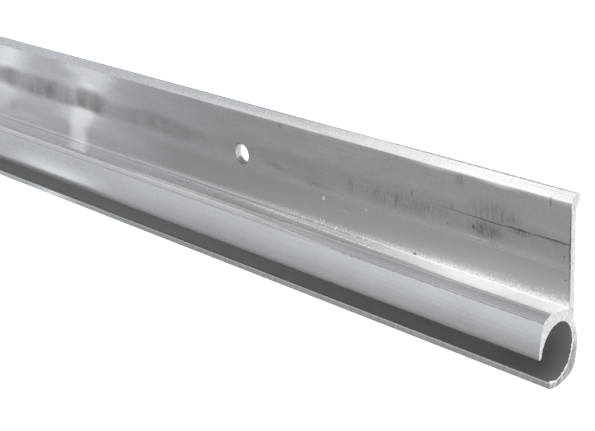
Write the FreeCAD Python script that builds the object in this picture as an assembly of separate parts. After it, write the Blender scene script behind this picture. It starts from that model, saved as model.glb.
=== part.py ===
import FreeCAD, Part
import math
import os

from FreeCAD import Vector

# Awning rail: one aluminium extrusion, a length of stock lying on its back.
# X runs along the rail, +Y up the flange, +Z away from the wall that the rail is screwed to.
# The wall plane is Z = 0, where the back of the channel and the back of the lip touch it.
# The origin is the middle of the length and of the section's height, on the wall plane.

# Length and screw holes
rail_length = 1000.0
hole_diameter = 3.1
hole_count = 8
hole_end_margin = 68.7
hole_height = 12.75

# Channel for the keder cord: a round bore that is open at the front
bore_diameter = 8.4
back_wall = 1.42
bottom_wall = 1.06
bottom_radius = 10.2
bottom_low = -0.95
back_radius = 6.9
back_level = -0.85
heel_radius = 1.5
lower_lip_reach = 1.9
lower_lip_rounding = 0.18

# Jaw, the channel's front wall, which comes down over the cord and thins towards its tip
jaw_angle = 7.0
jaw_wall = 0.67
jaw_bow = 0.16
jaw_rounding = 0.28

# Saddle, the channel's slightly hollow top, which rises to the front like a gutter's floor and
# ends in a flat chamfer before the jaw
saddle_wall = 1.42
saddle_rise = 12.5
saddle_hollow = 0.08
saddle_depth = 1.8
chamfer_slope = 17.4
chamfer_width = 1.89
saddle_rounding = 0.25
shoulder_radius = 0.8
foot_radius = 0.4
neck_radius = 0.5

# Flange, with a lip along its top that is bent back to the wall
flange_thickness = 1.14
flange_recess = 1.12
flange_top = 21.2
lip_angle = 45.0
lip_land = 0.55
lip_crest = 0.5
lip_rounding = 0.15

# Values that follow from the sizes above, counted from the centre of the bore
bore_radius = bore_diameter / 2
wall_plane = -(bore_radius + back_wall)
bottom_level = -(bore_radius + bottom_wall)
flange_back = wall_plane + flange_recess
flange_front = flange_back + flange_thickness
bore_height = -(flange_top + bottom_level) / 2


def at(height, depth):
    """Point of the left end's section, at a height above and a depth in front of the bore's centre."""
    return Vector(-rail_length / 2, bore_height + height, depth - wall_plane)


def polar(radius, angle):
    """Point at a distance from the bore's centre, at an angle above the straight front direction."""
    turn = math.radians(angle)
    return at(radius * math.sin(turn), radius * math.cos(turn))


def heel_arc(under, back):
    """Start, middle and end of the arc that rounds the underside into the back, between circles
    round the two centres: its own centre is as far from each as their radius less its own."""
    reach, other = bottom_radius - heel_radius, back_radius - heel_radius
    across = back - under
    along = (reach ** 2 - other ** 2 + across.Length ** 2) / (2 * across.Length)
    aside = Vector(0, -across.z, across.y) / across.Length * math.sqrt(reach ** 2 - along ** 2)
    centre = under + across / across.Length * along + aside
    from_under, from_back = (centre - under) / reach, (centre - back) / other
    halfway = (from_under + from_back) / (from_under + from_back).Length
    return [centre + way * heel_radius for way in (from_under, halfway, from_back)]


def underside():
    """Arcs along the channel's outside, from the lower lip under the bore and up its back, and the
    points at their two ends."""
    under, back = at(bottom_level + bottom_radius, bottom_low), at(back_level, wall_plane + back_radius)
    drop = math.sqrt(bottom_radius ** 2 - (lower_lip_reach - bottom_low) ** 2)
    rise = math.sqrt(back_radius ** 2 - (back_radius - flange_recess) ** 2)
    lip, neck = under + Vector(0, -drop, lower_lip_reach - bottom_low), at(back_level + rise, flange_back)
    heel = heel_arc(under, back)
    arcs = [arc(lip, at(bottom_level, bottom_low), heel[0]), arc(*heel),
            arc(heel[2], at(back_level, wall_plane), neck)]
    return lip, arcs, neck


def down_slope(start, slope, run):
    """Point at a distance from a start, going to the front and down at an angle."""
    turn = math.radians(slope)
    return start + Vector(0, -run * math.sin(turn), run * math.cos(turn))


def line(start, end):
    return Part.LineSegment(start, end).toShape()


def arc(start, middle, end):
    return Part.Arc(start, middle, end).toShape()


def bowed(start, end, bow):
    """Arc whose middle stands out of its chord by the bow, or in where the bow is negative."""
    chord = end - start
    outwards = Vector(0, chord.z, -chord.y) / chord.Length
    return arc(start, (start + end) * 0.5 + outwards * bow, end)


def saddle_corners():
    """The foot, where the saddle meets the flange, and the two ends of the chamfer at its front."""
    turn = math.radians(saddle_rise)
    over_centre = (bore_radius + saddle_wall) / math.cos(turn)
    foot = at(over_centre + flange_front * math.tan(turn), flange_front)
    crease = at(over_centre + saddle_depth * math.tan(turn), saddle_depth)
    return foot, crease, down_slope(crease, chamfer_slope, chamfer_width)


def lip_corners():
    """Corners of the bent lip, from the flange's front round its crest to the flange's back."""
    slope = math.tan(math.radians(lip_angle))
    crest_back = wall_plane + lip_land
    crest_front = crest_back + lip_crest
    bend_front = flange_top - (flange_front - crest_front) * slope
    land_top = flange_top - lip_land
    land_low = land_top - lip_land
    bend_back = land_low - flange_recess * slope
    return (at(bend_front, flange_front), at(flange_top, crest_front), at(flange_top, crest_back),
            at(land_top, wall_plane), at(land_low, wall_plane), at(bend_back, flange_back))


def section():
    """The rail's section with sharp corners, as a face at the left end, and the corners to round."""
    jaw_inner = polar(bore_radius, jaw_angle)
    jaw_outer = polar(bore_radius + jaw_wall, jaw_angle)
    lower_inner = at(-math.sqrt(bore_radius ** 2 - lower_lip_reach ** 2), lower_lip_reach)
    lower_outer, outside, neck = underside()
    foot, crease, shoulder = saddle_corners()
    lip = lip_corners()
    round_the_back = at(0.0, -bore_radius)
    outline = [arc(jaw_inner, round_the_back, lower_inner), line(lower_inner, lower_outer),
               *outside, line(neck, lip[-1])]
    outline += [line(lip[i], lip[i - 1]) for i in range(len(lip) - 1, 0, -1)]
    outline += [line(lip[0], foot), bowed(foot, crease, -saddle_hollow), line(crease, shoulder),
                bowed(shoulder, jaw_outer, jaw_bow), line(jaw_outer, jaw_inner)]
    rounded = [(shoulder_radius, [shoulder]), (saddle_rounding, [crease]), (foot_radius, [foot]),
               (neck_radius, [neck]), (jaw_rounding, [jaw_inner, jaw_outer]),
               (lower_lip_rounding, [lower_inner, lower_outer]), (lip_rounding, lip)]
    return Part.Face(Part.Wire(outline)), rounded


def round_corners(bar, rounded):
    """Round the long edges that start at the given corners of the left end."""
    near = 1e-4
    for radius, corners in rounded:
        edges = [edge for edge in bar.Edges for corner in corners
                 if abs(edge.Length - rail_length) < near
                 and min(v.Point.distanceToPoint(corner) for v in edge.Vertexes) < near]
        bar = bar.makeFillet(radius, edges)
    return bar


def screw_holes():
    """A row of holes through the flange, evenly spaced between the two end margins."""
    first = -rail_length / 2 + hole_end_margin
    pitch = (rail_length - 2 * hole_end_margin) / (hole_count - 1)
    overrun = flange_recess / 2
    low = flange_recess - overrun
    depth = flange_thickness + 2 * overrun
    return [Part.makeCylinder(hole_diameter / 2, depth,
                              Vector(first + i * pitch, bore_height + hole_height, low))
            for i in range(hole_count)]


def rail():
    face, rounded = section()
    bar = face.extrude(Vector(rail_length, 0, 0))
    return round_corners(bar, rounded).cut(screw_holes())


os.makedirs("parts", exist_ok=True)
body = rail()
body.exportStep("parts/rail.step")
box = body.BoundBox
print("valid", body.isValid(), "solids", len(body.Solids), "volume", round(body.Volume, 1))
print("box", [round(v, 4) for v in (box.XMin, box.XMax, box.YMin, box.YMax, box.ZMin, box.ZMax)])
print("bore's centre at y", round(bore_height, 4), "z", round(-wall_plane, 4))
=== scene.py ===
import math

import bpy
import numpy as np
from bpy.props import FloatProperty, FloatVectorProperty, IntProperty, PointerProperty
from mathutils import Matrix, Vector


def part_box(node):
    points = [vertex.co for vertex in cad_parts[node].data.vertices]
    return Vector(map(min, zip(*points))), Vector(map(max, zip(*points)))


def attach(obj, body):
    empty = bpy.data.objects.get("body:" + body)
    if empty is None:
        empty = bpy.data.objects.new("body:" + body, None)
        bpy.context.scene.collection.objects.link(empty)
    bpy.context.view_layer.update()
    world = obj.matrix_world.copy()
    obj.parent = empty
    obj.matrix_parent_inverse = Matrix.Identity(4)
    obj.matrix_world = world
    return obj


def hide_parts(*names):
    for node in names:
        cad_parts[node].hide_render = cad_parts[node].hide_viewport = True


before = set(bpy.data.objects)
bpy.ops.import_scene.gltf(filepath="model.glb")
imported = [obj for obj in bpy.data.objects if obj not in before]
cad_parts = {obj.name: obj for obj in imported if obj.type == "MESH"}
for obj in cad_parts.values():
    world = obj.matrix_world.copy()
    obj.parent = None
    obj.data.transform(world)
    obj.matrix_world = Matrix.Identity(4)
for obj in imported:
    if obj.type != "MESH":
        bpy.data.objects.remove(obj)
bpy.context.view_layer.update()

bl_info = {
    "name": "Awning rail",
    "version": (1, 0, 0),
    "blender": (4, 5, 0),
    "location": "3D View > Sidebar > Awning rail",
    "description": "Builds an extruded aluminium awning rail with its drilled holes and sawn ends",
    "category": "Add Mesh",
}

RAIL_LOW, RAIL_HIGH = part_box("rail")
MM = 0.001
UNROLLED = "unrolled"


def size(name, description, millimetres):
    """A length in the sidebar, with its default given in millimetres."""
    return FloatProperty(name=name, description=description, default=millimetres * MM,
                         min=0.0, precision=5, unit="LENGTH")


def angle(name, description, degrees):
    """An angle in the sidebar, with its default given in degrees."""
    return FloatProperty(name=name, description=description, default=math.radians(degrees),
                         subtype="ANGLE")


def colour(name, description, red, green, blue):
    """A linear colour in the sidebar."""
    return FloatVectorProperty(name=name, description=description, subtype="COLOR", size=3,
                               default=(red, green, blue), min=0.0, max=1.0)


def share(name, description, default, top=1.0):
    """A plain number in the sidebar, from nothing up to its top."""
    return FloatProperty(name=name, description=description, default=default, min=0.0, max=top)


class RailSizes(bpy.types.PropertyGroup):
    """Sizes of the rail's section, holes and ends."""

    length: FloatProperty(name="Length", description="Length of the rail", unit="LENGTH",
                          default=RAIL_HIGH.x - RAIL_LOW.x)
    hole_diameter: size("Hole diameter", "Diameter of a screw hole", 3.1)
    hole_count: IntProperty(name="Holes", description="Number of screw holes", default=8, min=2)
    hole_margin: size("Hole margin", "From an end to the middle of its nearest hole", 68.7)
    hole_height: size("Hole height", "From the bore's centre up to the holes", 12.75)
    bore_diameter: size("Bore diameter", "Channel for the keder cord", 8.4)
    back_wall: size("Back wall", "Channel's wall against the caravan", 1.42)
    bottom_wall: size("Bottom wall", "Channel's wall under the cord", 1.06)
    bottom_radius: size("Bottom radius", "Radius of the underside", 10.2)
    bottom_behind: size("Bottom behind", "Underside's lowest line, behind the bore's centre", 0.95)
    back_radius: size("Back radius", "Radius of the channel's back", 6.9)
    back_below: size("Back below", "Back's line on the wall, below the bore's centre", 0.85)
    heel_radius: size("Heel radius", "Radius between underside and back", 1.5)
    lower_lip_reach: size("Lower lip reach", "How far the lower lip comes forwards", 1.9)
    lower_lip_rounding: size("Lower lip rounding", "Edge radius of the lower lip", 0.18)
    jaw_angle: angle("Jaw angle", "Where the jaw ends, above straight forwards", 7.0)
    jaw_wall: size("Jaw wall", "Thickness of the jaw at its tip", 0.67)
    jaw_bow: size("Jaw bow", "How far the jaw's front swells out of its chord", 0.16)
    jaw_rounding: size("Jaw rounding", "Edge radius of the jaw's tip", 0.28)
    saddle_wall: size("Saddle wall", "Thickness over the bore", 1.42)
    saddle_rise: angle("Saddle rise", "Rise of the saddle towards the front", 12.5)
    saddle_hollow: size("Saddle hollow", "How far the saddle sinks below its chord", 0.08)
    saddle_depth: size("Saddle depth", "Where the saddle ends, in front of the bore's centre", 1.8)
    chamfer_slope: angle("Chamfer slope", "Fall of the chamfer in front of the saddle", 17.4)
    chamfer_width: size("Chamfer width", "Width of that chamfer", 1.89)
    saddle_rounding: size("Saddle rounding", "Edge radius between saddle and chamfer", 0.25)
    shoulder_radius: size("Shoulder radius", "Radius between chamfer and jaw", 0.8)
    foot_radius: size("Foot radius", "Radius between flange and saddle", 0.4)
    neck_radius: size("Neck radius", "Radius between channel and flange at the back", 0.5)
    flange_thickness: size("Flange thickness", "Thickness of the flange", 1.14)
    flange_recess: size("Flange recess", "Gap between the flange and the wall", 1.12)
    flange_top: size("Flange top", "Height of the lip's crest over the bore's centre", 21.2)
    lip_angle: angle("Lip angle", "How far the lip is bent back", 45.0)
    lip_land: size("Lip land", "Width of the lip's face on the wall", 0.55)
    lip_crest: size("Lip crest", "Width of the lip's flat top", 0.5)
    lip_rounding: size("Lip rounding", "Edge radius of the lip", 0.15)
    cut_lean: angle("Cut lean", "How far the right end's saw cut is off square", 9.5)
    cut_edge: size("Cut edge", "Width of the broken edge round a saw cut", 0.05)
    burr_width: size("Burr width", "How far the longest teeth of the saw burr stand out", 0.34)


class RailFinish(bpy.types.PropertyGroup):
    """Colours of the rail's aluminium, and of the painted shade and highlights on it."""

    skin: colour("Mill finish", "Extruded surface", 0.755, 0.76, 0.765)
    dull: colour("Dull bore", "Inside of the channel, which nothing rubs", 0.48, 0.48, 0.465)
    sawn: colour("Sawn face", "Fresh metal of a saw cut", 0.56, 0.56, 0.56)
    # Dirt, and also the colour of the painted shade over the saddle's foot, along the jaw's tip and
    # in a line along the crest.
    grime_and_shade: colour("Grime", "Dark smears on the flange", 0.33, 0.32, 0.32)
    # White of the scuffs, and also of the painted highlights on the flange, the bevel and the
    # saddle.
    scuff_and_highlight: colour("Scuffs", "Metal that is scratched white", 0.95, 0.955, 0.965)
    roughness: share("Roughness", "Roughness of the extruded surface", 0.12)
    grain: share("Grain", "How much the die lines stretch a highlight", 1.0)


class StageSettings(bpy.types.PropertyGroup):
    """Floor, lights and camera."""

    floor: colour("Floor", "Colour of the floor", 0.62, 0.62, 0.62)
    floor_glow: share("Floor glow", "Light that the floor gives off, as a light table does",
                      0.95, 5.0)
    sky: share("Room light", "Brightness of the room all round", 0.35, 5.0)
    lens: FloatProperty(name="Lens", description="Focal length of the camera", default=91.764 * MM,
                        unit="LENGTH")


# The section, as one closed line of straight stretches and arcs. A point is a complex number, its
# depth in front of the bore's centre plus i times its height over it. The line runs with the metal
# on its right, so that i times its direction points out of the metal.


ROW_GAP = 0.02
NEWTON_STEPS = 12
CORNER_STEPS = 5


class Stretch:
    """A straight stretch, or an arc where it has a centre: turn is 1 anticlockwise and -1
    clockwise."""

    def __init__(self, start, end, steps, rounding, centre=None, turn=0, heights=()):
        self.start, self.end, self.steps, self.rounding = start, end, steps, rounding
        self.centre, self.turn, self.heights = centre, turn, heights

    def direction(self, point):
        """The way the line runs at a point: along the chord, or square to the arc's radius."""
        if self.centre is None:
            return (self.end - self.start) / abs(self.end - self.start)
        radius = point - self.centre
        return 1j * self.turn * radius / abs(radius)

    def left_of(self, point):
        """How far a point lies to the left of the line."""
        if self.centre is None:
            return ((point - self.start) * self.direction(point).conjugate()).imag
        return self.turn * (abs(self.start - self.centre) - abs(point - self.centre))

    def foot(self, point):
        """The line's nearest point: the point less its distance along the line's left."""
        return point - 1j * self.direction(point) * self.left_of(point)

    def points(self):
        """Points along the stretch, even in length or at the given heights, and the way out at
        each."""
        if self.centre is None:
            share_of = np.linspace(0.0, 1.0, self.steps + 1)
            if len(self.heights):
                rows = (np.asarray(self.heights) - self.start.imag) / (self.end - self.start).imag
                rows = np.sort(rows[(rows > ROW_GAP) & (rows < 1 - ROW_GAP)])
                share_of = np.concatenate([[0.0], rows, [1.0]])
            place = self.start + (self.end - self.start) * share_of
            return place, np.full(len(place), 1j * self.direction(self.start))
        first = np.angle(self.start - self.centre)
        sweep = np.angle((self.end - self.centre) / (self.start - self.centre))
        if sweep * self.turn < 0:
            sweep += 2 * math.pi * self.turn
        ray = np.exp(1j * (first + sweep * np.linspace(0.0, 1.0, self.steps + 1)))
        return self.centre + abs(self.start - self.centre) * ray, -self.turn * ray


def arc_through(start, middle, end, steps, rounding):
    """Arc through three points: its centre is as far from all three."""
    ratio = (end - start) / (middle - start)
    centre = start - (start - middle) * (ratio - abs(ratio) ** 2) / (2j * ratio.imag)
    turn = math.copysign(1, ((middle - start).conjugate() * (end - middle)).imag)
    return Stretch(start, end, steps, rounding, centre, turn)


def bowed(start, end, bow, steps, rounding):
    """Arc that stands out of its chord by the bow at the middle."""
    out = 1j * (end - start) / abs(end - start)
    return arc_through(start, (start + end) / 2 + out * bow, end, steps, rounding)


def round_corner(before, after):
    """Rounds the corner between two stretches: the centre lies the radius away from both, on the
    side that the line turns to, and is found with a few steps of Newton's rule."""
    turn = math.copysign(1, (before.direction(before.end).conjugate()
                             * after.direction(after.start)).imag)
    away = turn * after.rounding
    centre = after.start
    for _ in range(NEWTON_STEPS):
        slopes, misses = [], []
        for stretch in (before, after):
            slope = 1j * stretch.direction(centre)
            slopes.append((slope.real, slope.imag))
            misses.append(away - stretch.left_of(centre))
        centre += complex(*np.linalg.solve(slopes, misses))
    start, end = before.foot(centre), after.foot(centre)
    before.end, after.start = start, end
    return Stretch(start, end, CORNER_STEPS, 0.0, centre, turn)


# Screw holes. The mesh of the flange is a plain grid whose cells round a hole are left out, and
# whose points round them are drawn onto the hole's circle.

HOLE_CELLS = 10
HOLE_FADE = np.array([0.2, 0.45, 0.72, 1.0])
HOLE_EDGE = 0.12 * MM
RIM_DEPTH = 0.03 * MM
FLANGE_ROWS = np.array([4.4, 5.9, 7.2, 8.4, 17.3, 18.6]) * MM
END_RINGS = np.array([0.0, 0.06, 0.15, 0.3, 0.55, 0.9, 1.4, 2.2, 3.4, 5.0, 7.5, 11.0, 16.0, 24.0,
                      38.0]) * MM
ON_LINE = 1e-7
GRID_DIGITS = 9


def hole_patch(sizes):
    """Half widths of the square that a hole takes from the grid and of the square that feels it."""
    return sizes.hole_diameter * 0.475, sizes.hole_diameter * 1.1


def hole_steps(sizes):
    """Mesh lines about a hole's middle: even over the hole, then wider up to the outer square."""
    inner, outer = hole_patch(sizes)
    wider = inner + (outer - inner) * HOLE_FADE
    return np.concatenate([np.linspace(-inner, inner, HOLE_CELLS + 1), wider, -wider])


def hole_places(sizes):
    """Where the holes lie along the rail, at an even pitch between the two margins."""
    reach = sizes.length / 2 - sizes.hole_margin
    return np.linspace(-reach, reach, sizes.hole_count)


def screw_rows(sizes):
    """Heights of the flange's mesh rows: close together round the holes, wider elsewhere."""
    rows = np.concatenate([sizes.hole_height + hole_steps(sizes), FLANGE_ROWS])
    return np.unique(np.round(rows, GRID_DIGITS))


def stations(sizes):
    """Places along the rail of the grid's rings: close together at the ends and at each hole."""
    half = sizes.length / 2
    rings = (hole_places(sizes)[:, None] + hole_steps(sizes)).ravel()
    rings = np.concatenate([-half + END_RINGS, half - END_RINGS, rings])
    return np.unique(np.round(rings, GRID_DIGITS))


def draw_to_circle(along, height, sizes):
    """Moves grid points near a hole: on the inner square they land on the rim's circle, by their
    distance from the middle, and the shift fades to nothing at the outer square."""
    inner, outer = hole_patch(sizes)
    rim = sizes.hole_diameter / 2 + HOLE_EDGE
    middle = hole_places(sizes)
    nearest = middle[np.abs(along[..., None] - middle).argmin(-1)]
    a, h = along - nearest, height - sizes.hole_height
    square = np.maximum(np.abs(a), np.abs(h))
    fade = np.clip((square - inner) / (outer - inner), 0.0, 1.0)
    far = np.hypot(a, h)
    scale = np.where(square < outer, (1 - fade) * rim / np.maximum(far, 1e-9) + fade, 1.0)
    return nearest + a * scale, sizes.hole_height + h * scale


# The section's line in this rail.

BORE_STEPS = 60
OUTSIDE_STEPS = 16
BOW_STEPS = 12
CHAMFER_STEPS = 4
FLAT_STEPS = 3
TIP_STEPS = 2


def depths(sizes):
    """Depths of the wall and of the flange's back and front, in front of the bore's centre."""
    wall = -(sizes.bore_diameter / 2 + sizes.back_wall)
    back = wall + sizes.flange_recess
    return wall, back, back + sizes.flange_thickness


def on_circle(centre, radius, depth, side):
    """Point of a circle at a depth, over its centre where side is 1 and under where it is -1."""
    aside = math.sqrt(radius ** 2 - (depth - centre.real) ** 2)
    return complex(depth, centre.imag + side * aside)


def section_line(sizes):
    """The whole section as rounded stretches, starting inside the jaw and going round the bore."""
    bore = sizes.bore_diameter / 2
    wall, flange_back, flange_front = depths(sizes)
    under = complex(-sizes.bottom_behind, sizes.bottom_radius - bore - sizes.bottom_wall)
    back = complex(wall + sizes.back_radius, -sizes.back_below)
    jaw_ray = np.exp(1j * sizes.jaw_angle)
    jaw_inner, jaw_outer = bore * jaw_ray, (bore + sizes.jaw_wall) * jaw_ray
    low_inner = on_circle(0j, bore, sizes.lower_lip_reach, -1)
    low_outer = on_circle(under, sizes.bottom_radius, sizes.lower_lip_reach, -1)
    neck = on_circle(back, sizes.back_radius, flange_back, 1)
    heel = on_circle(back, sizes.back_radius, (wall + flange_back) / 2, -1)
    rise = math.tan(sizes.saddle_rise)
    over = (bore + sizes.saddle_wall) / math.cos(sizes.saddle_rise)
    foot = complex(flange_front, over + flange_front * rise)
    crease = complex(sizes.saddle_depth, over + sizes.saddle_depth * rise)
    shoulder = crease + sizes.chamfer_width * np.exp(-1j * sizes.chamfer_slope)
    slope = math.tan(sizes.lip_angle)
    top, land = sizes.flange_top, sizes.lip_land
    crest_back, crest_front = wall + land, wall + land + sizes.lip_crest
    lip = [complex(flange_back, top - 2 * land - sizes.flange_recess * slope),
           complex(wall, top - 2 * land), complex(wall, top - land),
           complex(crest_back, top), complex(crest_front, top),
           complex(flange_front, top - (flange_front - crest_front) * slope)]
    rows = screw_rows(sizes)
    stretches = [
        Stretch(jaw_inner, low_inner, BORE_STEPS, sizes.jaw_rounding, 0j, 1),
        Stretch(low_inner, low_outer, FLAT_STEPS, sizes.lower_lip_rounding),
        Stretch(low_outer, heel, OUTSIDE_STEPS, sizes.lower_lip_rounding, under, -1),
        Stretch(heel, neck, OUTSIDE_STEPS, sizes.heel_radius, back, -1),
        Stretch(neck, lip[0], 0, sizes.neck_radius, heights=rows),
        *[Stretch(lip[i], lip[i + 1], FLAT_STEPS, sizes.lip_rounding) for i in range(len(lip) - 1)],
        Stretch(lip[-1], foot, 0, sizes.lip_rounding, heights=rows),
        bowed(foot, crease, -sizes.saddle_hollow, BOW_STEPS, sizes.foot_radius),
        Stretch(crease, shoulder, CHAMFER_STEPS, sizes.saddle_rounding),
        bowed(shoulder, jaw_outer, sizes.jaw_bow, BOW_STEPS, sizes.shoulder_radius),
        Stretch(jaw_outer, jaw_inner, TIP_STEPS, sizes.jaw_rounding),
    ]
    corners = [round_corner(stretches[i - 1], stretches[i]) for i in range(len(stretches))]
    return [piece for pair in zip(corners, stretches) for piece in pair]


PARTS = ("bore", "lower_lip", "underside", "back", "flange_back", "lip_under", "lip_land",
         "lip_back", "lip_crest", "lip_front", "flange", "saddle", "chamfer", "jaw", "jaw_tip")


def profile(sizes):
    """The section as arrays: place, way out and distance along the line at each point, and the
    distances at which the named parts of the line begin."""
    places, ways, begins = [], [], []
    for stretch in section_line(sizes):
        place, way = stretch.points()
        begins.append(sum(len(p) for p in places))
        places.append(place[:-1])
        ways.append(way[:-1])
    place, way = np.concatenate(places), np.concatenate(ways)
    run = np.concatenate([[0.0], np.cumsum(np.abs(np.diff(np.append(place, place[0]))))])
    return place, way, run, {name: run[begins[2 * i + 1]] for i, name in enumerate(PARTS)}


def looped(grid):
    """A grid whose rows come back to their first point."""
    return np.concatenate([grid, grid[:, :1]], axis=1)


class Shell:
    """Points and faces gathered from several surfaces that share them."""

    def __init__(self):
        self.points, self.count = [], 0
        self.faces, self.normals, self.uvs, self.materials = [], [], [], []

    def add_points(self, points):
        """Adds an array of points of any grid shape and returns their numbers in that shape."""
        flat = points.reshape(-1, 3)
        numbers = np.arange(self.count, self.count + len(flat)).reshape(points.shape[:-1])
        self.points.append(flat)
        self.count += len(flat)
        return numbers

    def add_faces(self, faces, normals, uvs, material):
        """Adds faces of one corner count, with a normal and a place on the map per corner."""
        self.faces.append(faces)
        self.normals.append(normals)
        self.uvs.append(uvs)
        self.materials.append(np.full(len(faces), material))

    def add_grid(self, numbers, normals, uvs, material, keep=True):
        """Joins a grid of points, row by row, into quads. Normals and map places are grids too,
        and keep says which quads are made."""
        def corners(grid):
            return np.stack([grid[:-1, :-1], grid[:-1, 1:], grid[1:, 1:], grid[1:, :-1]], axis=2)

        quads, way, place = corners(numbers), corners(normals), corners(uvs)
        chosen = np.broadcast_to(keep, quads.shape[:2])
        self.add_faces(quads[chosen], way[chosen], place[chosen], material)

    def add_band(self, first, second, ways, places, material):
        """Joins two closed lines of points into a band."""
        self.add_grid(looped(np.stack([first, second])), looped(np.stack([ways, ways])),
                      looped(np.stack([places, places])), material)

    def mesh(self, name):
        """The finished mesh, with its map and its own corner normals."""
        made = bpy.data.meshes.new(name)
        points = np.concatenate(self.points)
        counts = np.concatenate([np.full(len(f), f.shape[1]) for f in self.faces])
        corners = np.concatenate([f.ravel() for f in self.faces])
        made.vertices.add(len(points))
        made.vertices.foreach_set("co", points.astype(np.float32).ravel())
        made.loops.add(len(corners))
        made.loops.foreach_set("vertex_index", corners.astype(np.int32))
        made.polygons.add(len(counts))
        made.polygons.foreach_set("loop_start", (np.cumsum(counts) - counts).astype(np.int32))
        made.polygons.foreach_set("material_index",
                                  np.concatenate(self.materials).astype(np.int32))
        made.polygons.foreach_set("use_smooth", np.ones(len(counts), bool))
        uvs = np.concatenate([u.ravel() for u in self.uvs])
        made.uv_layers.new(name=UNROLLED).uv.foreach_set("vector", uvs.astype(np.float32))
        made.update(calc_edges=True)
        normals = np.concatenate([n.reshape(-1, 3) for n in self.normals])
        made.normals_split_custom_set(normals.astype(np.float32))
        return made


# The rail's surfaces. The two materials are the mesh's first and second.

SKIN, SAWN = 0, 1
LEAN_FADE = 12 * MM


def placed(along, section, sizes):
    """Row frame points from a place along the rail and a complex point of the section: the height
    is counted from the bore's centre and the depth from the wall."""
    lowest = sizes.bore_diameter / 2 + sizes.bottom_wall
    middle = (lowest - sizes.flange_top) / 2
    along, section = np.broadcast_arrays(along, section)
    return np.stack([along, middle + section.imag, section.real - depths(sizes)[0]], axis=-1)


def as_vectors(ways):
    """Complex directions of the section as row frame vectors."""
    return np.stack([np.zeros(ways.shape), ways.imag, ways.real], axis=-1)


def cut_shift(depth, along, sizes):
    """How far the leaning saw cut pulls a point back: its depth behind the foremost one times the
    lean's tangent, fading to nothing a little way into the rail."""
    foremost = RAIL_HIGH.z + depths(sizes)[0]
    near = np.clip(1 - (sizes.length / 2 - along) / LEAN_FADE, 0.0, 1.0)
    return (foremost - depth) * math.tan(sizes.cut_lean) * near


def cut_way(sizes):
    """The way out of the leaning saw cut."""
    return np.array([math.cos(sizes.cut_lean), 0.0, -math.sin(sizes.cut_lean)])


def on_flange(place, reach, sizes):
    """Which points of the section lie on the flange's sides, within a reach of the holes."""
    _, back, front = depths(sizes)
    off = np.minimum(abs(place.real - back), abs(place.real - front))
    return (off < ON_LINE) & (np.abs(place.imag - sizes.hole_height) < reach)


def rail_skin(shell, sizes):
    """The extruded surface: the section's closed line carried along the rail, so that a point is
    the section's point at a place along, shifted by the cut's lean and by the holes' circles."""
    place, way, run, _ = profile(sizes)
    inner, outer = hole_patch(sizes)
    along = stations(sizes)
    x, section = np.meshgrid(along, place, indexing="ij")
    drawn = on_flange(place, outer, sizes)
    drawn_x, drawn_h = draw_to_circle(x[:, drawn], section[:, drawn].imag, sizes)
    x[:, drawn] = drawn_x
    section[:, drawn] = section[:, drawn].real + 1j * drawn_h
    x = x - cut_shift(section.real, x, sizes)
    numbers = shell.add_points(placed(x, section, sizes))
    normals = np.broadcast_to(as_vectors(way), numbers.shape + (3,))
    uvs = np.stack([np.broadcast_to(run[:-1], x.shape), x], axis=-1)
    closing = np.stack([np.full(len(x), run[-1]), x[:, 0]], axis=-1)
    uvs = np.concatenate([uvs, closing[:, None]], axis=1)
    cell = (along[:-1] + along[1:]) / 2
    over_hole = np.abs(hole_places(sizes)[:, None] - cell).min(0) < inner
    ring = np.append(place, place[0])
    beside_hole = on_flange((ring[:-1] + ring[1:]) / 2, inner, sizes)
    shell.add_grid(looped(numbers), looped(normals), uvs, SKIN,
                   ~(over_hole[:, None] & beside_hole))
    return numbers, place, way, along


def hole_walls(shell, sizes, numbers, place, along):
    """Walls of the screw holes: the rim's circle on the flange's front carried through to the one
    on its back, with a small broken edge at both."""
    reach = hole_patch(sizes)[0] + ON_LINE
    _, back, front = depths(sizes)
    rows = []
    for depth in (front, back):
        side = np.flatnonzero(on_flange(place, reach, sizes) & (abs(place.real - depth) < ON_LINE))
        rows.append(side[np.argsort(place[side].imag)])
    steps = np.arange(HOLE_CELLS)
    zero, full = np.zeros(HOLE_CELLS, int), np.full(HOLE_CELLS, HOLE_CELLS)
    round_x = np.concatenate([steps, full, HOLE_CELLS - steps, zero])
    round_y = np.concatenate([zero, steps, full, HOLE_CELLS - steps])
    radius = sizes.hole_diameter / 2
    wide = radius + np.array([0.35, 0.0, 0.0, 0.35])[:, None] * HOLE_EDGE
    deep = np.array([front - RIM_DEPTH, front - HOLE_EDGE, back + HOLE_EDGE, back + RIM_DEPTH])
    tilt = np.array([0.9, 0.6, 0.0, 0.0, -0.6, -0.9])[:, None, None]
    centre_y = placed(0.0, 1j * sizes.hole_height, sizes)[1]
    for middle in hole_places(sizes):
        columns = np.flatnonzero(np.abs(along - middle) < reach)[round_x]
        front_rim, back_rim = (numbers[columns, side[round_y]] for side in rows)
        rim = np.concatenate(shell.points)[front_rim]
        turn = np.arctan2(rim[:, 1] - centre_y, rim[:, 0] - middle)
        across, up = np.cos(turn), np.sin(turn)
        inside = shell.add_points(placed(
            middle + wide * across, deep[:, None] + 1j * (sizes.hole_height + wide * up), sizes))
        grid = looped(np.concatenate([front_rim[None], inside, back_rim[None]]))
        inwards = np.stack([-across, -up, np.zeros(len(turn))], axis=-1)
        normals = inwards * np.sqrt(1 - tilt ** 2) + tilt * [0, 0, 1]
        uvs = np.zeros(grid.shape + (2,))
        uvs[..., 0] = np.linspace(0, sizes.flange_thickness, len(grid))[:, None]
        uvs[..., 1] = np.linspace(0, 2 * math.pi * radius, grid.shape[1])
        shell.add_grid(grid, looped(normals), uvs, SAWN)


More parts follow.
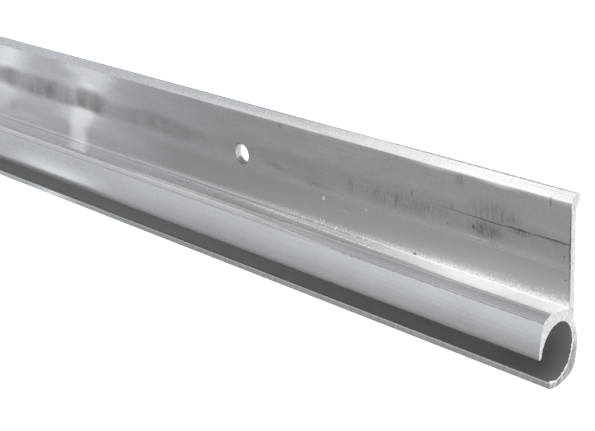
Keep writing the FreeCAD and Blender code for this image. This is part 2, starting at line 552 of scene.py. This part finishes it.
def sawn_end(shell, sizes, ring, place, way, right):
    """A sawn end: the section's line drawn in by the broken edge and filled, on a plane that leans
    for the right end and is square for the left."""
    inset = place - way * sizes.cut_edge
    half = sizes.length / 2
    if right:
        along, out = half - cut_shift(inset.real, half, sizes), cut_way(sizes)
    else:
        along, out = -half, np.array([-1.0, 0.0, 0.0])
    lip = shell.add_points(placed(along, inset, sizes))
    flat = np.stack([inset.imag, inset.real], axis=-1)
    slope = (as_vectors(way) + out) / math.sqrt(2)
    shell.add_band(*((ring, lip) if right else (lip, ring)), slope, flat, SAWN)
    order = np.arange(len(lip))[::1 if right else -1]
    shell.add_faces(lip[order][None], np.broadcast_to(out, (1, len(lip), 3)), flat[order][None],
                    SAWN)


# How much burr the saw left on each part of the right end's edge, from a distance along the part
# to another, as shares of the part.
BURRS = (
    ("bore", 0.50, 1.00, 1.00),
    ("bore", 0.10, 0.50, 0.25),
    ("lower_lip", 0.0, 1.0, 0.50),
    ("lip_front", 0.0, 1.0, 0.60),
    ("flange", 0.0, 1.0, 0.55),
    ("saddle", 0.0, 1.0, 0.35),
    ("jaw_tip", 0.0, 1.0, 0.50),
)
BURR_SEED = 11
BURR_ROOT = 0.08 * MM
BURR_SUNK = 0.03 * MM
TOOTH = 0.22 * MM
FIN = 0.02 * MM


def saw_burr(shell, sizes):
    """The burr that the saw left at the right end: a thin fin round the section's line, in the
    plane of the cut. How far it stands out is a jagged line of random teeth, less a threshold,
    times how much burr that part of the edge has, and it sinks into the metal where there is
    none."""
    place, way, run, marks = profile(sizes)
    along_line = np.arange(0.0, run[-1], TOOTH / 2)

    def at(values):
        """Complex values of the section's points, in between them along the line."""
        values = np.append(values, values[0])
        return (np.interp(along_line, run, values.real)
                + 1j * np.interp(along_line, run, values.imag))

    edge, out_of = at(place), at(way)
    out_of = out_of / np.abs(out_of)
    starts = np.array([*marks.values(), run[-1]])
    much = np.zeros(len(along_line))
    for name, low, high, strength in BURRS:
        i = PARTS.index(name)
        share_of = (along_line - starts[i]) / (starts[i + 1] - starts[i])
        much = np.where((share_of >= low) & (share_of <= high), strength, much)
    much = np.convolve(np.r_[much[-3:], much, much[:3]], np.ones(7) / 7, "valid")
    draw = np.random.default_rng(BURR_SEED)
    knots = np.arange(0.0, run[-1] + TOOTH, TOOTH)
    teeth = np.interp(along_line, knots, draw.random(len(knots)))
    swell = np.interp(along_line, knots[::6], draw.random(len(knots[::6])))
    stands = np.clip(0.9 * teeth + 0.6 * swell - 0.35, 0.0, 1.0)
    outer = edge + out_of * (sizes.burr_width * much * stands - BURR_SUNK)
    inner = edge - out_of * BURR_ROOT
    half = sizes.length / 2
    rings = []
    for line, behind in ((outer, 1.5), (outer, 0.5), (inner, 0.5), (inner, 1.5)):
        x = half - cut_shift(line.real, half, sizes) - behind * FIN
        rings.append(shell.add_points(placed(x, line, sizes)))
    flat = np.stack([edge.imag, edge.real], axis=-1)
    sides = as_vectors(out_of)
    face = np.broadcast_to(cut_way(sizes), sides.shape)
    for i, ways in enumerate((sides, face, -sides, -face)):
        shell.add_band(rings[i], rings[(i + 1) % 4], ways, flat, SAWN)


def build_rail(sizes):
    """The whole rail as one closed mesh."""
    shell = Shell()
    numbers, place, way, along = rail_skin(shell, sizes)
    hole_walls(shell, sizes, numbers, place, along)
    sawn_end(shell, sizes, numbers[-1], place, way, True)
    sawn_end(shell, sizes, numbers[0], place, way, False)
    saw_burr(shell, sizes)
    return shell.mesh("awning_rail")


# Node helpers.


def add(tree, kind, inputs=(), **settings):
    """Adds a node with its settings. Inputs map a socket to a value, or to an output to link."""
    made = tree.nodes.new("ShaderNode" + kind)
    for name, value in settings.items():
        setattr(made, name, value)
    for socket, value in dict(inputs).items():
        if isinstance(value, bpy.types.NodeSocket):
            tree.links.new(value, made.inputs[socket])
        else:
            made.inputs[socket].default_value = value
    return made


def calc(tree, operation, *values, clamp=False):
    """One step of arithmetic on values or outputs."""
    return add(tree, "Math", enumerate(values), operation=operation,
               use_clamp=clamp).outputs[0]


def arithmetic(tree):
    """Four functions for one tree: the product, the sum and the greatest of any number of values
    or outputs, and the smooth step of one."""
    def folded(operation):
        def chain(*values):
            total = values[0]
            for value in values[1:]:
                total = calc(tree, operation, total, value)
            return total
        return chain

    def window(value, low, high):
        return smooth_step(tree, value, low, high)

    return folded("MULTIPLY"), folded("ADD"), folded("MAXIMUM"), window


def vector(tree, operation, *values):
    """One step of arithmetic on vectors."""
    return add(tree, "VectorMath", enumerate(values), operation=operation).outputs[0]


def distance(tree, value):
    """A vector's length."""
    return add(tree, "VectorMath", {0: value}, operation="LENGTH").outputs["Value"]


def parts(tree, value):
    """The three parts of a vector."""
    return add(tree, "SeparateXYZ", {0: value}).outputs[:]


def smooth_step(tree, value, low, high):
    """Rises smoothly from 0 at low to 1 at high, or falls where low is the greater."""
    return add(tree, "MapRange", {"Value": value, "From Min": low, "From Max": high},
               interpolation_type="SMOOTHSTEP").outputs[0]


def stretched(tree, place, scale, detail=2.0, roughness=0.5):
    """Noise whose features are stretched by a scale per axis, in features per unit of the place."""
    return add(tree, "TexNoise", {
        "Vector": vector(tree, "MULTIPLY", place, scale), "Scale": 1.0, "Detail": detail,
        "Roughness": roughness}, noise_dimensions="3D").outputs["Fac"]


def blend(tree, factor, first, second):
    """Mix of two colours."""
    return add(tree, "Mix", {0: factor, 6: first, 7: second},
               data_type="RGBA").outputs[2]


def rgba(value):
    """A colour with its full opacity."""
    return (*value, 1.0)


def new_material(name):
    """An empty node material and its tree."""
    made = bpy.data.materials.new(name)
    made.use_nodes = True
    made.node_tree.nodes.clear()
    return made, made.node_tree


def shade(tree, inputs):
    """Ends a material's tree in one shader with these inputs."""
    shader = add(tree, "BsdfPrincipled", inputs)
    add(tree, "OutputMaterial", {0: shader.outputs[0]})


# Marks on the skin. Each is an ellipse on the unrolled skin: its middle's place along the rail
# from the right end and down from the flange's upper bend, its half sizes in the same order, all
# in millimetres, its strength and, where it leans, its lean in degrees.

SMEARS = (
    (-128, 6.2, 34, 2.6, 0.72),
    (-122, 6.8, 26, 1.8, 0.85),
    (-96, 6.5, 26, 2.3, 0.5),
    (-38, 6.4, 60, 2.6, 0.25),
    (-124.5, 6.5, 2.4, 2, 1),
    (-94, 6.6, 3.2, 1.5, 0.6),
    (-50, 8.4, 5, 0.7, 0.35, 3),
    (-61, 7.6, 4, 0.8, 0.45, 3),
)
SMUDGES = (
    (-16.2, 7.4, 6, 1.9, 1),
    (-14.5, 4.8, 7.5, 2.8, 0.55),
    (-32, 6.9, 17, 2.2, 0.55),
    (-11, 4.8, 1, 0.9, 0.9),
    (-10.2, 6.2, 3.6, 0.9, 0.85),
    (-3.5, 6, 3, 0.5, 0.6),
    (-43.4, 6.9, 1.2, 2, 0.6, 6),
    (-33.6, 6.8, 1.2, 2, 0.75, 6),
    (-27.2, 6.9, 1, 1.2, 0.7, 6),
    (-21, 1, 1.4, 1.4, 0.55, 6),
)
TICKS = (
    (-30.4, 5.2, 0.3, 0.5, 0.45, 4),
    (-18.4, 7.4, 0.3, 0.5, 0.9),
    (-22.5, 5.4, 0.4, 0.5, 0.4),
    (-4.9, 0.3, 0.25, 1.1, 0.7, 4),
    (-59, 0.5, 0.5, 0.4, 0.4),
    (-69.7, 5.3, 0.8, 0.35, 0.5),
)
SCRATCHES_AND_CREST_SHADE = (
    (-14, 5.88, 15, 0.1, 0.6, 0.4),
    (-16, 5.92, 4, 0.15, 0.65, 0.8),
    (-10.4, 5.82, 2.9, 0.24, 0.75, 0.6),
    (-4, 5.78, 5.4, 0.13, 0.9, 0.8),
    (-30, 14.55, 0.5, 0.22, 1),
    (-2.5, 7.7, 0.24, 0.14, 0.7),
    (-2.2, 11, 0.24, 0.18, 0.8),
    (-2.9, 9.4, 0.18, 0.14, 0.5),
    (-23.4, 8.1, 0.25, 0.2, 0.5),
    (-10, 9.9, 14, 0.08, 0.18, 1),
    (-1.55, 7.4, 0.16, 8.2, 0.7),
    (-68.9, 8.75, 1.3, 0.62, 0.9),
    (-16, -1.15, 26, 0.07, 0.16, 0.3),
    (-10, -0.62, 14, 0.06, 0.14, 0.2),
    # The last two rows are painted shade: a thin shadow line along the crest's rounded edge.
    (-60, -1.74, 90, 0.22, 0.4),
    (-18, -1.76, 30, 0.26, 0.75),
)
# Nick marks. The rows that run 5 mm or more along the rail are a painted highlight: a thin bright
# line along the saddle and its foot.
NICKS_AND_HIGHLIGHT_LINES = (
    (-49.4, 10.4, 0.35, 0.45, 0.9, 20),
    (-40, 10.1, 0.45, 0.25, 0.5),
    (-44.5, 11.4, 1.3, 0.1, 0.4, 6),
    (-17.8, 8.9, 2.8, 0.08, 0.35, 1),
    (-57, 16.5, 15, 0.3, 1, 4),
    (-42, 17.5, 12, 0.3, 1, 4),
    (-36, 17.8, 5, 0.5, 1, 3),
    (-92.5, 16.2, 1.9, 0.1, 0.7, 28),
    (-86.5, 19.2, 1.2, 0.12, 0.5, 30),
    (-82, 15.4, 18, 0.24, 0.55, 1.6),
    (-108, 15, 16, 0.18, 0.22, 0.4),
)
# Painted highlights: soft light patches that stand for reflections on the flange, the bevel and the
# saddle.
PAINTED_HIGHLIGHTS = (
    (-143, 11.5, 5, 5, 0.26),
    (-136, 13.3, 18, 2.2, 0.15),
    (-15, -0.35, 26, 0.95, 0.6),
    (-55, -0.4, 60, 0.9, 0.22),
    (-19, 16.2, 7, 1.8, 0.6, 2),
    (-52, 18, 26, 2.6, 0.13),
    (-80, 18.6, 22, 3.4, 0.17),
    (-112, 0.7, 12, 1.2, 0.3),
    (-109.5, 1.8, 4.5, 2.2, 0.22),
)


def spot(tree, place, core, reach, down, half_reach, half_down, strength, lean=0.0):
    """One mark: 1 in the core of its ellipse, falling to 0 at the ellipse's edge."""
    turned = add(tree, "Mapping", {
        0: place, 1: (down, reach, 0.0), 2: (0.0, 0.0, math.radians(-lean)),
        3: (half_down, half_reach, 1.0)}, vector_type="TEXTURE").outputs[0]
    return calc(tree, "MULTIPLY", smooth_step(tree, distance(tree, turned), 1.0, core), strength)


def marked(tree, place, marks, core=0.45):
    """All marks of a list together, as the strongest of them at each place."""
    most = arithmetic(tree)[2]
    return most(0.0, *(spot(tree, place, core, *mark) for mark in marks))


def shaken(tree, place, fineness, amount, detail=2.0):
    """A place that noise has moved by up to about half the amount, so that edges come out
    ragged."""
    noise = add(tree, "TexNoise", {
        "Vector": vector(tree, "MULTIPLY", place, (*fineness, 0.0)), "Scale": 1.0,
        "Detail": detail, "Roughness": 0.6}, noise_dimensions="2D").outputs["Color"]
    centred = vector(tree, "SUBTRACT", noise, (0.5, 0.5, 0.5))
    return vector(tree, "MULTIPLY_ADD", centred, (*amount, 0.0), place)


def mill_aluminium(sizes, finish):
    """Extruded aluminium: faint die lines along the rail, cloudy patina, dark smears and fine
    scratches on the flange, white scuffs on the saddle and a dull bore, with painted highlights and
    painted shade on the flange, saddle, chamfer, jaw and bore."""
    made, tree = new_material("mill_aluminium")
    times, plus, most, window = arithmetic(tree)
    marks = profile(sizes)[3]
    unrolled = add(tree, "UVMap", uv_map=UNROLLED).outputs[0]
    moved = vector(tree, "SUBTRACT", unrolled, (marks["flange"], sizes.length / 2, 0.0))
    place = vector(tree, "MULTIPLY", moved, [1 / MM] * 3)
    down, reach, _ = parts(tree, place)

    def after(name):
        """Where a named part of the section begins, down from the flange's bend."""
        return (marks[name] - marks["flange"]) / MM

    def below(name, low, high, way_down=down):
        """A window over the way down, with bounds counted from where a named part begins."""
        return window(way_down, after(name) + low, after(name) + high)

    def along(low, high):
        """A window over the place along the rail."""
        return window(reach, low, high)

    drift = shaken(tree, place, (0.16, 0.09), (1.2, 4.5), 0.6)
    jitter = shaken(tree, place, (1.8, 1.8), (0.55, 0.9))
    fine = shaken(tree, place, (1.2, 1.2), (0.12, 0.3))
    lines = stretched(tree, place, (3.0, 0.012, 0.0), 3.0, 0.65)
    cloud = stretched(tree, place, (0.30, 0.09, 0.0), 4.0, 0.6)
    grain = stretched(tree, place, (2.2, 1.6, 0.0), 3.0, 0.65)
    hatch = stretched(tree, place, (0.35, 2.2, 0.0), 3.0, 0.65)
    speck = stretched(tree, place, (0.9, 2.6, 0.0), 3.0, 0.7)
    mottle = stretched(tree, place, (0.11, 0.34, 0.0), 3.0, 0.6)
    on_bevel = window(down, 0.1, -0.1)
    in_bore = times(below("bore", -0.1, 0.6), below("lower_lip", 0.0, -0.8))

    # Dirt and dark blotches: dirt smears along the far part, darker blotches where the room's two
    # narrow lamps show in the flange, fine upright strokes near the end, ticks and scratches, and a
    # painted shade line along the crest. Between the blotches a slanting patch gets a painted
    # highlight.
    low, far, _ = parts(tree, drift)
    dark_blotches = times(
        window(low, 3.4, 5.2), window(low, 9.0, 7.2),
        plus(times(window(far, -118.5, -113.5), window(far, -105.0, -109.5), 0.72),
             times(window(far, -133.5, -138.0), 0.55)),
        plus(0.74, times(window(mottle, 0.34, 0.66), 0.26)))
    beam = plus(far, times(low, 0.42))
    # Painted highlight: a slanting light patch, painted white into the colour, that stands for a
    # lamp's reflection.
    glint = times(window(beam, -115.0, -111.6), window(beam, -106.4, -109.6),
                  window(low, 7.4, 9.0), window(low, 15.4, 14.3))
    strokes = window(plus(times(hatch, 0.6), times(grain, 0.4)), 0.38, 0.62)
    broken = window(plus(times(speck, 0.5), times(grain, 0.5)), 0.38, 0.60)
    smear = most(
        times(marked(tree, drift, SMEARS, 0.4),
              plus(0.66, times(window(mottle, 0.34, 0.68), 0.34))),
        times(marked(tree, jitter, SMUDGES, 0.2), plus(0.22, times(strokes, 0.78))))
    marks_and_crest_shade = most(times(marked(tree, fine, TICKS), broken),
                times(marked(tree, fine, SCRATCHES_AND_CREST_SHADE), plus(0.55, times(broken, 0.45))))

    # White marks: scuffs on the saddle in a wedge that widens towards the end, partly painted
    # highlight; a hazy painted highlight and a painted highlight line at the foot; upright strokes
    # and sparkle along it; single nick marks with a painted highlight line among them, painted
    # highlight patches, the glint, and flecks on the bevel.
    wedge_end = plus(add(tree, "MapRange", {
        "Value": reach, "From Min": -75.0, "From Max": -30.0, "To Min": after("saddle") + 2.2,
        "To Max": after("saddle") + 4.2}).outputs[0], times(along(-32.0, -8.0), 2.4))
    wedge = calc(tree, "SUBTRACT", plus(down, times(grain, 1.2)), wedge_end)
    end_highlight = times(along(-24.0, -20.0), along(-9.0, -12.5))
    # Scuffs on the saddle, partly a painted highlight for its bright reflection, strongest in the
    # patch near the end.
    scuff_and_highlight = times(
        below("saddle", -0.15, 0.45), window(wedge, 1.3, -1.3),
        plus(times(along(-85.0, -58.0), 0.42), times(along(-44.0, -20.0), 0.42),
             times(end_highlight, 0.16)),
        below("chamfer", 0.15, -0.35, plus(down, times(grain, 0.5))),
        plus(0.6, times(hatch, 0.8)), plus(0.70, times(below("saddle", 4.4, 2.6), 0.30)))
    foot_highlight = times(below("saddle", -2.6, 0.3), below("saddle", 1.2, 0.2), along(-44.0, -20.0),
                 plus(0.28, times(window(grain, 0.36, 0.64), 0.40)))
    foot_highlight_line = times(below("saddle", -0.6, -0.35), below("saddle", 0.5, 0.2), along(-46.0, -24.0),
                 0.75)
    upright = times(below("saddle", -2.6, -0.2), below("saddle", 0.8, 0.0), along(-70.0, -52.0),
                    window(speck, 0.58, 0.66), 0.8)
    sparkle = times(window(stretched(tree, place, (3.2, 2.4, 0.0), 1.0), 0.60, 0.68),
                    below("saddle", -3.4, -0.6), below("saddle", 1.0, 0.0),
                    along(-25.0, -15.0), 0.85)
    fleck = times(on_bevel, window(speck, 0.52, 0.62), along(-110.0, -40.0), 0.25)
    nicks_and_highlight_lines = times(marked(tree, fine, NICKS_AND_HIGHLIGHT_LINES), plus(0.4, times(broken, 0.6)))
    white = most(scuff_and_highlight, foot_highlight, foot_highlight_line, upright, nicks_and_highlight_lines, marked(tree, drift, PAINTED_HIGHLIGHTS, 0.0),
                 times(glint, 0.25), sparkle, fleck)

    # Shade: over the saddle's foot, in a line at the foot's far part and along the jaw's tip.
    corner = times(
        below("saddle", -7.8, -4.6), plus(0.25, times(below("saddle", -0.5, -1.4), 0.75)),
        below("saddle", 0.2, -0.2), plus(0.10, times(along(-112.0, -84.0), 0.90)))
    foot_line = times(below("saddle", -0.65, -0.35), below("saddle", 0.1, -0.15),
                      along(-74.0, -90.0))
    jaw_edge = plus(times(below("jaw_tip", -1.2, -0.3), 0.55),
                    times(below("jaw_tip", -1.4, -0.7), along(-85.0, -105.0), 0.42))

    # The chamfer: a band of painted shade for its dark reflection, sharp-edged near the end and
    # fading out to the left.
    band_end = calc(tree, "SUBTRACT", plus(down, times(grain, 0.6)),
                    plus(after("jaw") - 1.35, times(along(-68.0, -34.0), 1.45)))
    band = times(below("chamfer", -0.4, 0.4), plus(
        times(below("jaw", -0.1, -0.7), 0.27),
        times(window(band_end, 0.12, -0.12), plus(0.26, times(along(-54.0, -32.0), 0.22))),
        times(below("jaw", -1.25, -0.85), below("jaw", -0.25, -0.65), along(-38.0, -54.0),
              0.30)))

    # Colours, laid over one another in this order.
    skin, grime_and_shade, dull = (np.array(value) for value in (finish.skin, finish.grime_and_shade, finish.dull))
    tone = plus(times(lines, 0.30), times(cloud, 0.35), times(grain, 0.35),
                times(on_bevel, plus(times(hatch, 0.5), times(grain, 0.5), -0.5), 1.2))
    metal = blend(tree, tone, rgba(skin * 0.76), rgba(np.minimum(skin * 1.24, 1.0)))
    for factor, paint in (
            (band, skin * (0.235, 0.25, 0.27)),
            (most(plus(times(corner, 0.60), times(foot_line, 0.22)), jaw_edge), grime_and_shade),
            (smear, grime_and_shade), (dark_blotches, grime_and_shade * 0.62), (times(glint, 0.9), (1.0, 1.0, 1.0)),
            (white, finish.scuff_and_highlight), (marks_and_crest_shade, grime_and_shade * 0.3)):
        metal = blend(tree, factor, metal, rgba(paint))
    # Inside the bore: the dull metal with painted shade, darker towards the right end and darker
    # still low in the bore near that end.
    mouth_shade = times(below("lower_lip", -10.5, -6.5), along(-17.0, -4.0), 0.55)
    inside = blend(tree, along(-110.0, 10.0), rgba(dull), rgba(dull * 0.6))
    inside = blend(tree, mouth_shade, inside, rgba(dull * 0.2))
    metal = blend(tree, in_bore, metal, inside)
    rough = plus(finish.roughness - 0.045, times(cloud, 0.05), times(grain, 0.04),
                 times(smear, 0.04), times(white, 0.30), times(corner, 0.22),
                 times(jaw_edge, 0.3), times(in_bore, 0.35))
    bright = calc(tree, "SUBTRACT", 1.0, plus(times(white, 0.75), times(in_bore, 0.7)),
                  clamp=True)
    height = plus(lines, times(grain, 0.8), times(scuff_and_highlight, 1.5))
    bump = add(tree, "Bump", {"Strength": 1.0, "Distance": 2.5e-6, "Height": height})
    tangent = add(tree, "Tangent", direction_type="UV_MAP", uv_map=UNROLLED)
    shade(tree, {"Base Color": metal, "Metallic": bright, "Roughness": rough,
                 "Anisotropic": finish.grain, "Normal": bump.outputs[0],
                 "Tangent": tangent.outputs[0]})
    return made


def sawn_aluminium(finish):
    """Bright sawn metal with the saw's marks, painted shade low on the cuts and low in the holes,
    a painted highlight on the rim under the bore, and small pits."""
    made, tree = new_material("sawn_aluminium")
    times, plus, _, window = arithmetic(tree)
    place = add(tree, "TexCoord").outputs["Object"]
    along, height, _ = parts(tree, place)
    turned = add(tree, "Mapping", {0: place, 2: (math.radians(40), 0, 0)}).outputs[0]
    teeth = stretched(tree, turned, (1500.0, 500.0, 6500.0), 3.0, 0.6)
    coarse = stretched(tree, turned, (900.0, 500.0, 3200.0))
    speck = stretched(tree, place, (2500.0, 2500.0, 2500.0), 3.0, 0.6)
    pits = stretched(tree, place, (2600.0, 2200.0, 2600.0), 1.0)
    # Painted shade on the holes' lower walls. By its bounds it also darkens the lower part of the
    # left sawn end.
    hole_shade = times(window(along, 0.4955, 0.4945),
                    window(plus(height, times(speck, 0.0006)), 0.0045, 0.0039), 0.9)
    # Painted shade low on the sawn ends, broken up by coarse noise.
    low_shade = times(window(height, -0.006, -0.0105), window(coarse, 0.30, 0.62))
    flat = add(tree, "UVMap", uv_map=UNROLLED).outputs[0]
    from_bore = plus(distance(tree, flat), times(speck, 0.0002))
    # Painted highlight: a brighter rim on the cut round the bore's lower half.
    rim = times(window(from_bore, 0.00455, 0.00442),
                window(height, -0.005, -0.0085))
    sawn = np.array(finish.sawn)
    metal = blend(tree, window(plus(teeth, speck), 0.75, 1.25),
                  rgba(sawn * 0.72), rgba(np.minimum(sawn * 1.08, 1)))
    for factor, tone in ((hole_shade, 0.22), (low_shade, 0.35), (rim, 1.15),
                         (window(pits, 0.69, 0.74), 0.2)):
        metal = blend(tree, factor, metal, rgba(np.minimum(sawn * tone, 1)))
    bump = add(tree, "Bump", {"Strength": 1.0, "Distance": 5e-6, "Height": teeth})
    shade(tree, {"Base Color": metal, "Metallic": 0.75,
                 "Roughness": plus(0.42, times(speck, 0.2)), "Normal": bump.outputs[0]})
    return made


# The light table in the floor: where its light begins and is full, from above and from below
# along y, and towards both ends along x.
STRIP_ABOVE = 0.052, 0.041
STRIP_BELOW = -0.135, -0.095
STRIP_ENDS = 0.62, 0.54


def pale_floor(stage):
    """A pale floor: a matt surface with a light table let into it, which gives off light in a
    soft strip under the rail."""
    made, tree = new_material("pale_floor")
    times, _, _, window = arithmetic(tree)
    place = add(tree, "TexCoord").outputs["Object"]
    along, up, _ = parts(tree, place)
    pale = np.array(stage.floor)
    tone = blend(tree, stretched(tree, place, (3.0, 3.0, 3.0)), rgba(pale * 0.97), rgba(pale))
    glow = times(window(up, *STRIP_ABOVE), window(up, *STRIP_BELOW),
                 window(calc(tree, "ABSOLUTE", along), *STRIP_ENDS), stage.floor_glow)
    shade(tree, {"Base Color": tone, "Roughness": 0.8, "Emission Color": rgba((1.0, 1.0, 1.0)),
                 "Emission Strength": glow, "Specular IOR Level": 0.1})
    return made


# Lights of the room: strength, then where it starts and is full, to the left as a cosine and in
# degrees of rise round the rail's axis, counted from straight in front of the wall. Two pairs bound
# it on both sides.
ROOM = (
    (0.34, (), ((-26.0, 12.0),)),
    (0.10, ((0.74, 0.62),), ((-12.0, 6.0), (40.0, 25.0))),
    (-0.12, (), ((38.0, 46.0), (66.0, 56.0))),
    (0.62, ((0.73, 0.64),), ((56.0, 66.0), (90.0, 74.0))),
    (0.25, ((0.640, 0.625), (0.590, 0.602)), ((56.0, 66.0), (90.0, 74.0))),
    (0.22, ((0.74, 0.86),), ((-12.0, -22.0),)),
    (1.25, ((0.7995, 0.8040), (0.8085, 0.8040)), ((-44.0, -34.0), (-12.0, -20.0))),
    (0.85, ((0.829, 0.836), (0.843, 0.836)), ((-44.0, -34.0), (-12.0, -20.0))),
    (0.50, ((0.780, 0.800), (0.830, 0.810)), ((-22.0, -14.0), (2.0, -10.0))),
    (-0.07, ((0.76, 0.80),), ((-4.0, 4.0), (30.0, 20.0))),
    (-0.16, (), ((-40.0, -56.0),)),
)


def room_light(stage):
    """The room as seen in the metal. The light's brightness is a sum over how far it lies to the
    left and how high it stands round the rail's axis: even light all round, more from the upper
    front, a lamp over the right end, a bright wall far to the left and two narrow lamps in front
    of it. A fine ripple runs through it, and it is cooler ahead and far to the left."""
    world = bpy.data.worlds.new("room")
    world.use_nodes = True
    tree = world.node_tree
    tree.nodes.clear()
    times, plus, most, window = arithmetic(tree)
    right, up, front = parts(tree, add(tree, "TexCoord").outputs["Generated"])
    left = times(right, -1.0)
    rise = times(calc(tree, "ARCTAN2", up, front), math.degrees(1.0))
    total = stage.sky
    for strength, lefts, rises in ROOM:
        total = plus(total, times(strength, *(window(left, *pair) for pair in lefts),
                                  *(window(rise, *pair) for pair in rises)))
    ripple = add(tree, "TexNoise", {"W": left, "Scale": 55.0, "Detail": 2.0},
                 noise_dimensions="1D").outputs["Fac"]
    total = times(total, plus(0.93, times(ripple, 0.14)))
    ahead = times(window(rise, -24.0, -8.0), window(rise, 54.0, 40.0))
    tint = blend(tree, most(window(left, 0.64, 0.80), ahead),
                 rgba((1.0, 1.0, 0.995)), rgba((0.95, 0.975, 1.02)))
    glow = add(tree, "Background", {"Color": tint, "Strength": total})
    add(tree, "OutputWorld", {0: glow.outputs[0]})
    return world


FLOOR_REACH = 4.0

# Softboxes: name, centre, what they face, width and power.
SOFTBOXES = (
    ("key_light", (1.5, -0.2, 1.0), (0.45, 0.0, 0.0), 1.0, 6.0),
    ("top_light", (0.75, 0.9, 0.75), (0.48, 0.0, 0.0), 0.7, 9.0),
)

# The camera: the ways to its right, up and back, its place, its sensor's width and how near and
# far it sees.
CAMERA_POSE = (
    (0.6734804689, -0.0426622970, -0.7376113471),
    (-0.2288178422, 0.9372060640, -0.2631010760),
    (0.7025183222, 0.3461570772, 0.6214280847),
    (0.614297, 0.080885, 0.152640),
)
SENSOR = 36.0
CAMERA_RANGE = 0.01, 50.0


def posed(right, up, back, centre):
    """The matrix that turns an object's axes to three ways and moves it to a place."""
    return Matrix([*zip(right, up, back, centre), (0, 0, 0, 1)])


def softbox(name, centre, target, width, power):
    """A square area light that faces a target."""
    data = bpy.data.lights.new(name, "AREA")
    data.shape, data.size, data.energy = "SQUARE", width, power
    made = bpy.data.objects.new(name, data)
    back = np.array(centre) - np.array(target)
    back = back / np.linalg.norm(back)
    side = np.cross([0.0, 1.0, 0.0], back)
    side = side / np.linalg.norm(side)
    made.matrix_world = posed(side, np.cross(back, side), back, centre)
    bpy.context.scene.collection.objects.link(made)


class RAIL_OT_build(bpy.types.Operator):
    """Builds the rail from its section, with its screw holes and sawn ends"""

    bl_idname = "rail.build"
    bl_label = "Rail"

    def execute(self, context):
        sizes, finish = context.scene.rail_sizes, context.scene.rail_finish
        mesh = build_rail(sizes)
        mesh.materials.append(mill_aluminium(sizes, finish))
        mesh.materials.append(sawn_aluminium(finish))
        piece = bpy.data.objects.new("awning_rail", mesh)
        context.scene.collection.objects.link(piece)
        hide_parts("rail")
        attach(piece, "root")
        return {"FINISHED"}


class RAIL_OT_stage(bpy.types.Operator):
    """Sets up the floor, the lights and the camera"""

    bl_idname = "rail.stage"
    bl_label = "Stage"

    def execute(self, context):
        stage = context.scene.rail_stage
        mesh = bpy.data.meshes.new("floor")
        corners = np.array([(-1, -1, 0), (1, -1, 0), (1, 1, 0), (-1, 1, 0)]) * FLOOR_REACH
        mesh.from_pydata(corners.tolist(), [], [(0, 1, 2, 3)])
        mesh.materials.append(pale_floor(stage))
        floor = bpy.data.objects.new("floor", mesh)
        context.scene.collection.objects.link(floor)
        context.scene.world = room_light(stage)
        context.scene.view_settings.view_transform = "Standard"
        for lamp in SOFTBOXES:
            softbox(*lamp)
        data = bpy.data.cameras.new("camera")
        data.sensor_fit, data.sensor_width, data.lens = "HORIZONTAL", SENSOR, stage.lens / MM
        data.clip_start, data.clip_end = CAMERA_RANGE
        camera = bpy.data.objects.new("camera", data)
        camera.matrix_world = posed(*CAMERA_POSE)
        context.scene.collection.objects.link(camera)
        context.scene.camera = camera
        return {"FINISHED"}


class RAIL_PT_panel(bpy.types.Panel):
    """Lists the rail's sizes, finish and stage, and the steps that build them"""

    bl_idname = "RAIL_PT_panel"
    bl_label = "Awning rail"
    bl_space_type = "VIEW_3D"
    bl_region_type = "UI"
    bl_category = "Awning rail"

    def draw(self, context):
        for title, group in (("Sizes", context.scene.rail_sizes),
                             ("Finish", context.scene.rail_finish),
                             ("Stage", context.scene.rail_stage)):
            box = self.layout.box()
            box.label(text=title)
            for name in group.bl_rna.properties.keys():
                if name not in ("rna_type", "name"):
                    box.prop(group, name)
        for step in STEPS:
            self.layout.operator(step.bl_idname)


STEPS = (RAIL_OT_build, RAIL_OT_stage)
CLASSES = (RailSizes, RailFinish, StageSettings, *STEPS, RAIL_PT_panel)


def register():
    for cls in CLASSES:
        bpy.utils.register_class(cls)
    bpy.types.Scene.rail_sizes = PointerProperty(type=RailSizes)
    bpy.types.Scene.rail_finish = PointerProperty(type=RailFinish)
    bpy.types.Scene.rail_stage = PointerProperty(type=StageSettings)


def unregister():
    del bpy.types.Scene.rail_stage
    del bpy.types.Scene.rail_finish
    del bpy.types.Scene.rail_sizes
    for cls in reversed(CLASSES):
        bpy.utils.unregister_class(cls)


def main():
    register()
    bpy.ops.rail.build()
    bpy.ops.rail.stage()


if __name__ == "__main__":
    main()
